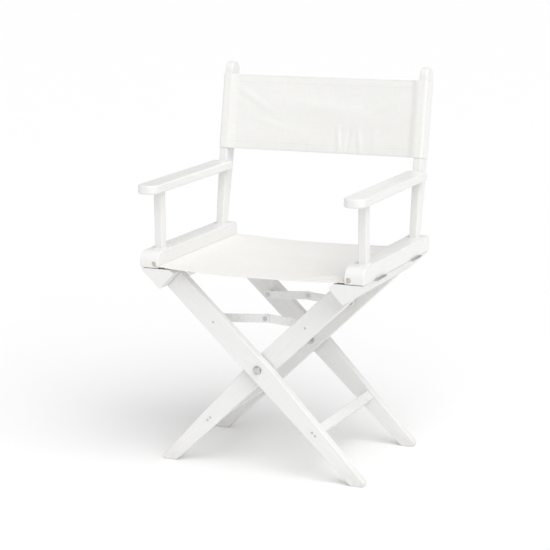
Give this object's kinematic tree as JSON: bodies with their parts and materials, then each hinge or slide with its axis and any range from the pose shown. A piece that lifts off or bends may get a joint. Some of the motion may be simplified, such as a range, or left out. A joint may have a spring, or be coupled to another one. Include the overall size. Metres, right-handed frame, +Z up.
{
  "type": "folding director chair",
  "caption": "Folding director chair: crossed wooden legs, two side panels with arms and posts, folding braces and a canvas seat and back.",
  "frame": {"origin": "on the floor, under the centre of the bounding box with the chair open", "axes": "+Z up, -Y to the front of the chair, +X to the right of someone who faces it"},
  "size_m": [0.548, 0.4766, 0.8755],
  "materials": {
    "painted_wood": "white satin lacquer on hardwood",
    "bare_wood": "bare hardwood dowel",
    "canvas": "natural off-white cotton duck, plain weave",
    "steel": "zinc-plated steel",
    "brace_steel": "white enamel on flat steel bar"
  },
  "bodies": {
    "frame_a": {"leg_a_front": "painted_wood", "leg_a_rear": "painted_wood", "stretcher_a": "painted_wood", "seat_bar_a": "painted_wood", "stretcher_screws_a": "steel", "bar_hinge_leaves_a": "steel", "bar_hinge_screws_a": "steel", "hinge_pins_a": "steel", "brace_pins_a": "steel", "pivot_bolt_front": "steel", "pivot_bolt_rear": "steel", "pivot_washers": "steel", "pivot_nuts": "steel"},
    "frame_b": {"leg_b_front": "painted_wood", "leg_b_rear": "painted_wood", "stretcher_b": "painted_wood", "seat_bar_b": "painted_wood", "stretcher_screws_b": "steel", "bar_hinge_leaves_b": "steel", "bar_hinge_screws_b": "steel", "hinge_pins_b": "steel", "brace_pins_b": "steel"},
    "panel_left": {"side_rail_left": "painted_wood", "front_post_left": "painted_wood", "back_post_left": "painted_wood", "arm_left": "painted_wood", "rail_hinge_leaves_left": "steel", "rail_hinge_screws_left": "steel", "arm_screw_left": "steel", "seat_stick_left": "bare_wood", "seat_hem_left": "canvas", "back_sleeve_left": "canvas"},
    "panel_right": {"side_rail_right": "painted_wood", "front_post_right": "painted_wood", "back_post_right": "painted_wood", "arm_right": "painted_wood", "rail_hinge_leaves_right": "steel", "rail_hinge_screws_right": "steel", "arm_screw_right": "steel", "seat_stick_right": "bare_wood", "seat_hem_right": "canvas", "back_sleeve_right": "canvas"},
    "brace_a": {"brace_link_a_front": "brace_steel", "brace_link_a_rear": "brace_steel", "brace_rivets_a": "steel"},
    "brace_b": {"brace_link_b_front": "brace_steel", "brace_link_b_rear": "brace_steel", "brace_rivets_b": "steel"},
    "seat_left": {"seat_canvas_left": "canvas"},
    "seat_right": {"seat_canvas_right": "canvas"},
    "back_left": {"back_canvas_left": "canvas"},
    "back_right": {"back_canvas_right": "canvas"}
  },
  "joints": [
    {"name": "fold", "type": "hinge", "parent": "frame_a", "child": "frame_b", "pos_m": [0, -0.0233, 0.24058], "axis": [0, -1, 0], "range_deg": [0, 80]},
    {"name": "panel_left_hinge", "type": "hinge", "parent": "frame_a", "child": "panel_left", "pos_m": [-0.271, -0.0233, 0.4595], "axis": [0, 1, 0], "range_deg": [-40, 0]},
    {"name": "panel_right_hinge", "type": "hinge", "parent": "frame_b", "child": "panel_right", "pos_m": [0.271, -0.0233, 0.4595], "axis": [0, 1, 0], "range_deg": [0, 40]},
    {"name": "brace_a_hinge", "type": "hinge", "parent": "frame_a", "child": "brace_a", "pos_m": [-0.10626, -0.0233, 0.34071], "axis": [0, 1, 0], "range_deg": [-116.8, 0]},
    {"name": "brace_b_hinge", "type": "hinge", "parent": "frame_b", "child": "brace_b", "pos_m": [0.10626, -0.0233, 0.34071], "axis": [0, 1, 0], "range_deg": [0, 116.8]},
    {"name": "seat_left_bend", "type": "hinge", "parent": "panel_left", "child": "seat_left", "pos_m": [-0.2209, -0.0233, 0.4642], "axis": [0, 1, 0], "range_deg": [-87.93, 0], "deforming": ["seat_canvas_left"]},
    {"name": "seat_right_bend", "type": "hinge", "parent": "panel_right", "child": "seat_right", "pos_m": [0.2209, -0.0233, 0.4642], "axis": [0, 1, 0], "range_deg": [0, 87.93], "deforming": ["seat_canvas_right"]},
    {"name": "back_left_bend", "type": "hinge", "parent": "panel_left", "child": "back_left", "pos_m": [-0.2331, 0.15815, 0.67628], "axis": [0, 0.2011, 0.9796], "range_deg": [0, 83.27], "deforming": ["back_canvas_left"]},
    {"name": "back_right_bend", "type": "hinge", "parent": "panel_right", "child": "back_right", "pos_m": [0.2331, 0.15815, 0.67628], "axis": [0, 0.2011, 0.9796], "range_deg": [-83.27, 0], "deforming": ["back_canvas_right"]}
  ],
  "couplings": [
    {"joint": "panel_left_hinge", "follows": "fold", "ratio": -0.5},
    {"joint": "panel_right_hinge", "follows": "fold", "ratio": 0.5},
    {"joint": "brace_a_hinge", "follows": "fold", "ratio": -1.46},
    {"joint": "brace_b_hinge", "follows": "fold", "ratio": 1.46},
    {"joint": "seat_left_bend", "follows": "fold", "ratio": -1.0991},
    {"joint": "seat_right_bend", "follows": "fold", "ratio": 1.0991},
    {"joint": "back_left_bend", "follows": "fold", "ratio": 1.0409},
    {"joint": "back_right_bend", "follows": "fold", "ratio": -1.0409}
  ]
}
